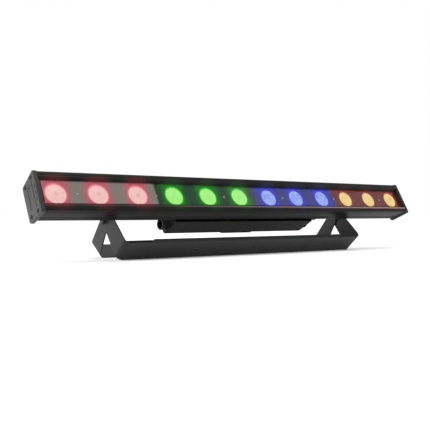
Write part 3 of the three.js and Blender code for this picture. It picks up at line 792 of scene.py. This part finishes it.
# ---- lenses ----
def lens(index):
    """A domed lens with a pebbled face, a stepped rim and a flange behind the mask."""
    bm = bmesh.new()
    x = FIRST_LED + index * LED_PITCH
    rings = 18
    count = 60
    face = []
    for ring in range(rings):
        radius = (LENS_RADIUS - 1.2) * (ring + 1) / rings
        dome = -0.55 + 1.1 * (radius / LENS_RADIUS) ** 2
        row = []
        for angle in circle_angles(count):
            a, b = radius * cos(angle), radius * sin(angle)
            wave = cos(2.1 * a) + cos(1.05 * a + 1.82 * b) + cos(1.05 * a - 1.82 * b)
            row.append(bm.verts.new((x + a, dome + 0.09 * (wave + 1.5) / 2.25, b)))
        face.append(row)
    centre = bm.verts.new((x, -0.3, 0))
    for k in range(count):
        bm.faces.new((centre, face[0][k], face[0][(k + 1) % count]))
    for low, high in zip(face, face[1:]):
        for k in range(count):
            after = (k + 1) % count
            bm.faces.new((low[k], low[after], high[after], high[k]))
    border = [
        (LENS_RADIUS - 0.7, 0.75), (LENS_RADIUS - 0.1, 1.0), (LENS_RADIUS, 1.4), (LENS_RADIUS, 3.3),
        (LENS_FLANGE, 3.3), (LENS_FLANGE, 5.3), (18, 5.3), (7, LENS_DEPTH), (0, LENS_DEPTH),
    ]
    last = face[-1]
    for radius, y in border:
        if radius == 0:
            tip = bm.verts.new((x, y, 0))
            for k in range(count):
                bm.faces.new((last[k], last[(k + 1) % count], tip))
            break
        row = [bm.verts.new((x + radius * cos(a), y, radius * sin(a))) for a in circle_angles(count)]
        for k in range(count):
            after = (k + 1) % count
            bm.faces.new((last[k], last[after], row[after], row[k]))
        last = row
    node = f"lens_{index + 1:02d}"
    finish_piece(f"{node}_moulding", bm, f"lens_{COLORS[index // 3]}", "head", replaced=[node], sharp=40)


# ---- rear box details ----
SOCKET_Y = 77.5
SOCKET_FACE = 192.3
SOCKET_BODY = 173.7  # how far the barrel reaches into the box
SOCKET_MOUTH = 205.3
SOCKET_FLOOR = 191.3
SOCKET_OUTER = 11.6
SOCKET_INNER = 9
PIN_CIRCLE = 4.5
PIN_TIP = 198.3
BOX_REAR = 91
PANEL_REAR = 93.3
LOUVRE_FIRST_X = 80
LOUVRE_PITCH = 9


def round_socket(name, side, z, look, ribs):
    """A chassis connector: flange with two screws, barrel with ribs, an open mouth and three pins."""
    bm = bmesh.new()
    corners = [(-12.5, -14, 3), (12.5, -14, 3), (12.5, 14, 3), (-12.5, 14, 3)]

    def place(a, b, t):
        return (side * t, SOCKET_Y + a, z + b)

    loft(bm, [
        (rounded(corners, 4), SOCKET_FACE), (rounded(corners, 4), SOCKET_FACE + 1.4),
        (rounded([(a * 0.96, b * 0.965, r) for a, b, r in corners], 4), SOCKET_FACE + 2),
    ], place)
    chamfered, grooved = SOCKET_OUTER - 0.4, SOCKET_OUTER - 0.5
    barrel = [(0, SOCKET_BODY), (chamfered, SOCKET_BODY), (SOCKET_OUTER, SOCKET_BODY + 0.5)]
    for step in range(ribs):
        near = SOCKET_FACE + 3 + step * 2.6
        barrel += [
            (SOCKET_OUTER, near), (grooved, near + 0.4), (grooved, near + 1.2), (SOCKET_OUTER, near + 1.6),
        ]
    barrel += [
        (SOCKET_OUTER, SOCKET_MOUTH - 0.7), (grooved, SOCKET_MOUTH),
        (SOCKET_INNER + 0.6, SOCKET_MOUTH), (SOCKET_INNER + 0.1, SOCKET_MOUTH - 0.5),
        (SOCKET_INNER, SOCKET_FLOOR), (0, SOCKET_FLOOR),
    ]
    spin(bm, barrel, place, 40)
    turn = 0 if look == "power_socket" else pi / 2
    for angle in circle_angles(3, turn):
        y, up = PIN_CIRCLE * cos(angle), PIN_CIRCLE * sin(angle)
        root = SOCKET_FLOOR - 0.5
        pin = [(0, root), (1.2, root), (1.2, PIN_TIP - 0.5), (0.8, PIN_TIP), (0, PIN_TIP)]
        spin(bm, pin, lambda a, b, t: (side * t, SOCKET_Y + y + a, z + up + b), 14)
    finish_piece(f"{name}_detail", bm, look, "head", replaced=[name], sharp=35)
    heights = [(0, 1.5), (1.7, 1.5), (1.7, 2.2), (1.2, 2.6), (0, 2.6)]
    head = [(radius, side * (SOCKET_FACE + height)) for radius, height in heights]
    for label, (dy, dz) in (("a", (-9.7, 11.2)), ("b", (9.7, -11.2))):
        screw = bmesh.new()
        spin(screw, head, axis_x(SOCKET_Y + dy, z + dz), 18)
        finish_piece(f"{name}_screw_{label}", screw, "screw", "head", sharp=25)


def flat_ring(bm, outer, inner, low, high):
    """A flat ring between two outlines of equal length, along y."""
    loops = [[bm.verts.new((a, y, b)) for a, b in outline]
             for outline, y in ((outer, low), (outer, high), (inner, high), (inner, low))]
    count = len(outer)
    for near, far in zip(loops, loops[1:] + loops[:1]):
        for k in range(count):
            after = (k + 1) % count
            bm.faces.new((near[k], near[after], far[after], far[k]))


def box_details():
    """Four screws, two banks of louvres and the bezel of the display on the back of the box."""
    heights = [(0, -0.2), (3, -0.2), (3, 0.3), (2.4, 1.2), (1.3, 1.6), (1, 1.6), (1, 0.6), (0, 0.6)]
    profile = [(radius, BOX_REAR + height) for radius, height in heights]
    for label, x, z in (("1", -170, 20), ("2", 170, 20), ("3", -170, -25), ("4", 170, -25)):
        bm = bmesh.new()
        spin(bm, profile, axis_y(x, z), 22)
        finish_piece(f"box_rear_screw_{label}", bm, "screw", "head", sharp=25)
    vents = bmesh.new()
    low, high = 8, 26
    for bank in (-1, 1):
        for row in range(9):
            x = bank * (LOUVRE_FIRST_X + row * LOUVRE_PITCH)
            slat = rounded([
                (x - 1.6, low, 1.2), (x + 1.6, low, 1.2), (x + 1.6, high, 1.2), (x - 1.6, high, 1.2),
            ], 3)
            middle = (low + high) / 2
            crest = [(x + (a - x) * 0.35, middle + (b - middle) * 0.9) for a, b in slat]
            loft(vents, [(slat, BOX_REAR - 0.1), (slat, BOX_REAR + 0.3), (crest, BOX_REAR + 1.2)], along_y)
    finish_piece("box_rear_louvres", vents, "black_box", "head", sharp=40)
    bezel = bmesh.new()
    inner = rounded([(-37, -27.4, 1), (-5, -27.4, 1), (-5, -11.6, 1), (-37, -11.6, 1)], 3)
    outer = rounded([(-38.6, -29, 1.5), (-3.4, -29, 1.5), (-3.4, -10, 1.5), (-38.6, -10, 1.5)], 3)
    flat_ring(bezel, outer, inner, PANEL_REAR - 0.05, PANEL_REAR + 0.6)
    finish_piece("display_bezel", bezel, "panel", "head", sharp=40)


def menu_key(index):
    """A key with a dished top and a collar behind the cover that keeps it in."""
    bm = bmesh.new()
    profile = [
        (0, 88.4), (4.5, 88.4), (4.5, 89.8), (3.6, 89.8), (3.6, KEY_TOP - 0.7), (3.3, KEY_TOP - 0.2),
        (2.8, KEY_TOP), (1.6, KEY_TOP - 0.25), (0, KEY_TOP - 0.4),
    ]
    spin(bm, profile, axis_y(KEY_FIRST_X + index * KEY_PITCH, KEY_Z), 32)
    node = f"menu_button_{index + 1}"
    finish_piece(f"{node}_key", bm, "button", node, replaced=[node], sharp=40)


# ---- pivots ----
def clamp_knob(name, side):
    """A three-lobed knob with a domed face and a sunk centre over the bolt's end."""
    bm = bmesh.new()
    down = HEAD_TILT - pi / 2

    def lobed(scale, depth=0.25):
        return lambda angle: KNOB_RADIUS * scale * (1 - depth + depth * cos(3 * (angle - down)))

    heights = [
        (4.3, 0), (7.1, 0), (7.5, 0.4), (7.5, 2.1), (lobed(0.95), 2.1), (lobed(1), 2.7),
        (lobed(1), 6.1), (lobed(0.97), 7.1), (lobed(0.9, 0.24), 7.8), (lobed(0.84, 0.22), 8.1),
        (7.4, 8.1), (6.8, 7.7), (6.4, 6.9), (4.3, 6.7),
    ]
    profile = [(radius, side * (KNOB_SEAT + height)) for radius, height in heights]
    spin(bm, profile, axis_x(PIVOT_BACK, 0), 80, loop=True)
    node = f"clamp_knob_{name}"
    finish_piece(f"{node}_moulding", bm, "knob", node, replaced=[node], sharp=30)


# ---- yokes ----
SHEET = 2.5
BEND = 13  # outer radius
PIVOT_HOLE = 4.5
FIX_HOLE = 3.4
FIX_PLACES = (-151.5, 0, 151.5)
LIP_HALF = 262.5
LIP_TALL = 10
# way is the side the foot leans to and lean its angle; top and foot are half widths, outer is half the span
YOKES = {
    "front_yoke": {"way": -1, "lean": 42.5, "outer": 325.6, "top": 16.9, "foot": 24},
    "rear_yoke": {"way": 1, "lean": 34, "outer": 322.4, "top": 13, "foot": 21},
}


def yoke_path(outer, reach, top):
    """Stations over one half of the folded strip, from the ear's top to the middle of the foot. Each is the
    point on the outer face, the outward direction, and the height that sets the width."""
    stations = []
    for step in range(15):
        angle = pi / 2 * step / 14
        stations.append(((outer, top * cos(angle)), (1, 0), top * cos(angle)))
    stations.append(((outer, (BEND - reach) / 2), (1, 0), (BEND - reach) / 2))
    for step in range(9):
        angle = pi / 2 * step / 8
        out = (cos(angle), -sin(angle))
        centre = (outer - BEND, BEND - reach)
        stations.append(((centre[0] + BEND * out[0], centre[1] + BEND * out[1]), out, BEND - reach))
    for x in (280, LIP_HALF, 160, 148, 80, 8):
        stations.append(((x, -reach), (0, -1), BEND - reach))
    return stations


def yoke_sheet(name):
    """A yoke: its folded strip with the holes cut, the flange added and the edges softened."""
    size = YOKES[name]
    lean = radians(size["lean"])
    top, foot, outer = size["top"], size["foot"], size["outer"]
    reach = (PIVOT_HEIGHT - foot * sin(lean)) / cos(lean)

    def half_width(height):
        if height > 0:
            return max(0.6, sqrt(max(0, top * top - height * height)))
        return top + (foot - top) * min(1, -height / (reach - BEND))

    half = yoke_path(outer, reach, top)
    mirrored = [((-point[0], point[1]), (-out[0], out[1]), height) for point, out, height in reversed(half)]
    bm = bmesh.new()
    rows = []
    for (x, z), (out_x, out_z), height in half + mirrored:
        width = half_width(height)
        inner = (x - out_x * SHEET, z - out_z * SHEET)
        rows.append([
            bm.verts.new((x, -width, z)), bm.verts.new((x, width, z)),
            bm.verts.new((inner[0], width, inner[1])), bm.verts.new((inner[0], -width, inner[1])),
        ])
    for low, high in zip(rows, rows[1:]):
        for k in range(4):
            after = (k + 1) % 4
            bm.faces.new((low[k], low[after], high[after], high[k]))
    bm.faces.new(rows[0])
    bm.faces.new(rows[-1][::-1])
    matrix = yoke_frame(size["way"] * lean)
    piece = finish_piece(f"{name}_sheet", bm, "yoke", name, matrix=matrix, replaced=[name], sharp=30)
    apply_cut(piece, yoke_tools(reach, outer, matrix))
    add_lip(piece, size["way"], reach, foot, matrix)
    soften_edges(piece, 0.35, 40)


def yoke_tools(reach, outer, matrix):
    """The pivot holes and the three fixing holes."""
    bm = bmesh.new()
    for side in (-1, 1):
        ends = side * (outer - 6), side * (outer + 4)
        profile = [(0, ends[0]), (PIVOT_HOLE, ends[0]), (PIVOT_HOLE, ends[1]), (0, ends[1])]
        spin(bm, profile, axis_x(0, 0), 32)
    for x in FIX_PLACES:
        low, high = -reach - 4, -reach + 6
        spin(bm, [(0, low), (FIX_HOLE, low), (FIX_HOLE, high), (0, high)], axis_z(x, 0), 28)
    return tool_object(bm, matrix)


def add_lip(piece, way, reach, foot, matrix):
    """The stiffening flange folded up along the foot's outer edge."""
    bm = bmesh.new()
    low, high = -reach + 0.01, LIP_TALL - reach
    outline = rounded([
        (-LIP_HALF, low, 0), (LIP_HALF, low, 0), (LIP_HALF, high, 5), (-LIP_HALF, high, 5),
    ], 5)
    edge = way * foot
    ends = (edge, edge - way * SHEET)
    prism(bm, outline, along_y, min(ends), max(ends))
    apply_cut(piece, tool_object(bm, matrix), "UNION")


# ---- studio ----
def make_camera():
    """The main view, from the front left and nearly level."""
    data = bpy.data.cameras.new("camera")
    data.sensor_width = 36
    data.lens = CAMERA_LENS
    data.clip_end = 200
    camera = bpy.data.objects.new("camera", data)
    bpy.context.scene.collection.objects.link(camera)
    camera.location = CAMERA_PLACE
    camera.rotation_euler = (pi / 2 + CAMERA_PITCH, 0, -CAMERA_YAW)
    bpy.context.scene.camera = camera


def make_floor():
    """A sheet of white paper under the part."""
    bm = bmesh.new()
    bmesh.ops.create_grid(bm, x_segments=1, y_segments=1, size=60)
    mesh = bpy.data.meshes.new("floor")
    bm.to_mesh(mesh)
    bm.free()
    floor = bpy.data.objects.new("floor", mesh)
    bpy.context.scene.collection.objects.link(floor)
    floor.location.z = -0.0002
    paper = Shader("floor_paper", (0.93, 0.93, 0.93, 1), 0.9, specular=0.0)
    paper.bsdf.inputs["Emission Color"].default_value = (1, 1, 1, 1)
    paper.bsdf.inputs["Emission Strength"].default_value = 0.1
    mesh.materials.append(paper.material)


def area_light(name, place, aim, size, power):
    """A round soft light at place, turned towards aim."""
    data = bpy.data.lights.new(name, "AREA")
    data.shape = "DISK"
    data.size = size
    data.energy = power
    light = bpy.data.objects.new(name, data)
    bpy.context.scene.collection.objects.link(light)
    light.location = place
    light.rotation_euler = (Vector(aim) - Vector(place)).to_track_quat("-Z", "Y").to_euler()


def make_studio():
    """White surroundings with a soft light at the side and one above."""
    world = bpy.data.worlds.new("studio")
    world.use_nodes = True
    world.node_tree.nodes["Background"].inputs["Color"].default_value = (1, 1, 1, 1)
    world.node_tree.nodes["Background"].inputs["Strength"].default_value = 1.0
    bpy.context.scene.world = world
    bpy.context.scene.view_settings.view_transform = "Standard"
    area_light("side_light", (-2.6, 0.2, 0.9), (-0.3, 0, 0.05), 1.4, 40)
    area_light("top_light", (0.2, -0.6, 2.6), (0, 0, 0.1), 1.6, 25)


# ---- assembly ----
make_camera()
dress_cad_nodes()
housing()
for side_name, side_sign in (("left", -1), ("right", 1)):
    end_cap(side_name, side_sign)
    cap_screws(side_name, side_sign)
    rear_screws(side_name, side_sign)
    clamp_knob(side_name, side_sign)
for led in range(LED_COUNT):
    lens(led)
mask_screws()
for socket_name, socket_side in (("inlet", -1), ("outlet", 1)):
    round_socket(f"power_{socket_name}", socket_side, POWER_SOCKET_Z, "power_socket", 3)
    round_socket(f"data_{socket_name}", socket_side, DATA_SOCKET_Z, "data_socket", 0)
box_details()
for key in range(4):
    menu_key(key)
for yoke_name in YOKES:
    yoke_sheet(yoke_name)
make_floor()
make_studio()
